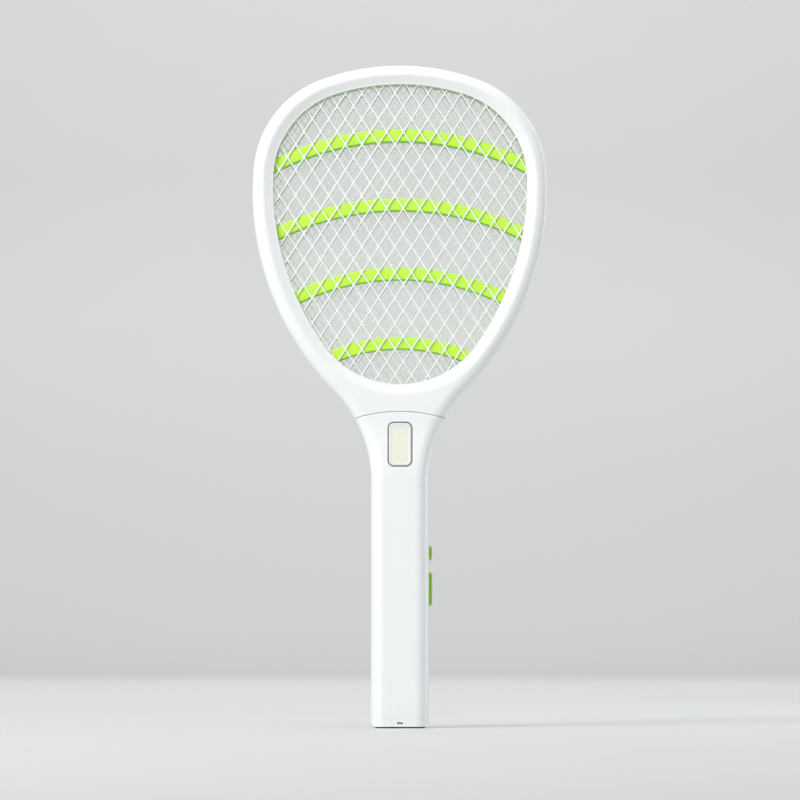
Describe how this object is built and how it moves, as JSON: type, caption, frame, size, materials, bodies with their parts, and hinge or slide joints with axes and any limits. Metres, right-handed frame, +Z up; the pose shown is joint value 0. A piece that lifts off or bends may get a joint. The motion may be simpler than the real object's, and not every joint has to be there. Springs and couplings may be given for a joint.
{
  "type": "electric fly swatter",
  "caption": "Racket-shaped insect zapper: a live grid between guard grids in an egg-shaped head, a lamp in the neck, a sprung button and a mode slider on the handle's side.",
  "frame": {"origin": "under the middle of the foot pad, on the surface that the swatter stands on", "axes": "+Z up the handle to the head, front towards -Y, controls on +X"},
  "size_m": [0.214, 0.032, 0.48],
  "materials": {
    "white_shell": "satin moulded white plastic",
    "white_coat": "white coated expanded metal",
    "live_grid": "bare expanded metal",
    "lime_spacer": "satin lime-green plastic",
    "screw_steel": "zinc plated",
    "terminal_brass": "bare",
    "foot_rubber": "matt dark grey",
    "lamp_gasket": "satin dark grey",
    "lamp_diffuser": "frosted off-white",
    "lamp_board_white": "white solder mask",
    "led_phosphor": "yellow phosphor",
    "board_green": "green solder mask",
    "ferrite": "matt",
    "coil_tape": "yellow tape",
    "film_capacitor": "dipped",
    "disc_ceramic": "dipped",
    "black_epoxy": "moulded",
    "resistor_tan": "lacquered",
    "nickel_plate": "nickel plated",
    "spring_steel": "drawn wire",
    "light_guide": "frosted clear",
    "green_control": "satin green plastic",
    "plunger_red": "moulded",
    "cell_wrap": "blue film over the metal can",
    "cradle_white": "moulded",
    "lead_red": "insulated wire",
    "lead_black": "insulated wire"
  },
  "bodies": {
    "racket": {"head_front_frame": "white_shell", "head_rear_frame": "white_shell", "guard_mesh_front": "white_coat", "guard_mesh_rear": "white_coat", "electrode_mesh": "live_grid", "spacer_front": "lime_spacer", "spacer_rear": "lime_spacer", "head_screws": "screw_steel", "guard_terminal": "terminal_brass", "electrode_terminal": "terminal_brass", "handle_front_shell": "white_shell", "handle_rear_shell": "white_shell", "handle_screws": "screw_steel", "foot_pad": "foot_rubber", "strap_pin": "screw_steel", "lamp_bezel": "lamp_gasket", "lamp_lens": "lamp_diffuser", "lamp_board": "lamp_board_white", "lamp_leds": "led_phosphor", "circuit_board": "board_green", "board_screws": "screw_steel", "transformer_core": "ferrite", "transformer_winding": "coil_tape", "hv_capacitor": "film_capacitor", "multiplier_capacitors": "disc_ceramic", "diodes": "black_epoxy", "bleed_resistors": "resistor_tan", "switching_transistor": "black_epoxy", "charge_controller": "black_epoxy", "charging_port": "nickel_plate", "port_board": "board_green", "indicator_led": "led_phosphor", "light_pipe": "light_guide", "push_switch_body": "black_epoxy", "button_spring": "spring_steel", "slide_switch_body": "nickel_plate", "battery_cell": "cell_wrap", "battery_tabs": "nickel_plate", "battery_cradle": "cradle_white", "battery_leads": "lead_red", "lamp_leads": "lead_red", "electrode_lead": "lead_red", "guard_lead": "lead_black", "port_leads": "lead_red"},
    "zap_key": {"zap_button": "green_control"},
    "push_plunger": {"push_switch_plunger": "plunger_red"},
    "mode_slider": {"mode_knob": "green_control", "slide_lever": "black_epoxy"}
  },
  "joints": [
    {"name": "zap_press", "type": "slide", "parent": "racket", "child": "zap_key", "axis": [-1, 0, 0], "range_m": [0, 0.0015], "stiffness_N_per_m": 900, "springref_m": -0.0008, "deforming": ["button_spring"]},
    {"name": "plunger_press", "type": "slide", "parent": "racket", "child": "push_plunger", "axis": [-1, 0, 0], "range_m": [0, 0.0015]},
    {"name": "mode_slide", "type": "slide", "parent": "racket", "child": "mode_slider", "axis": [0, 0, 1], "range_m": [-0.0015, 0.0015]}
  ],
  "couplings": [
    {"joint": "plunger_press", "follows": "zap_press", "ratio": 1}
  ]
}
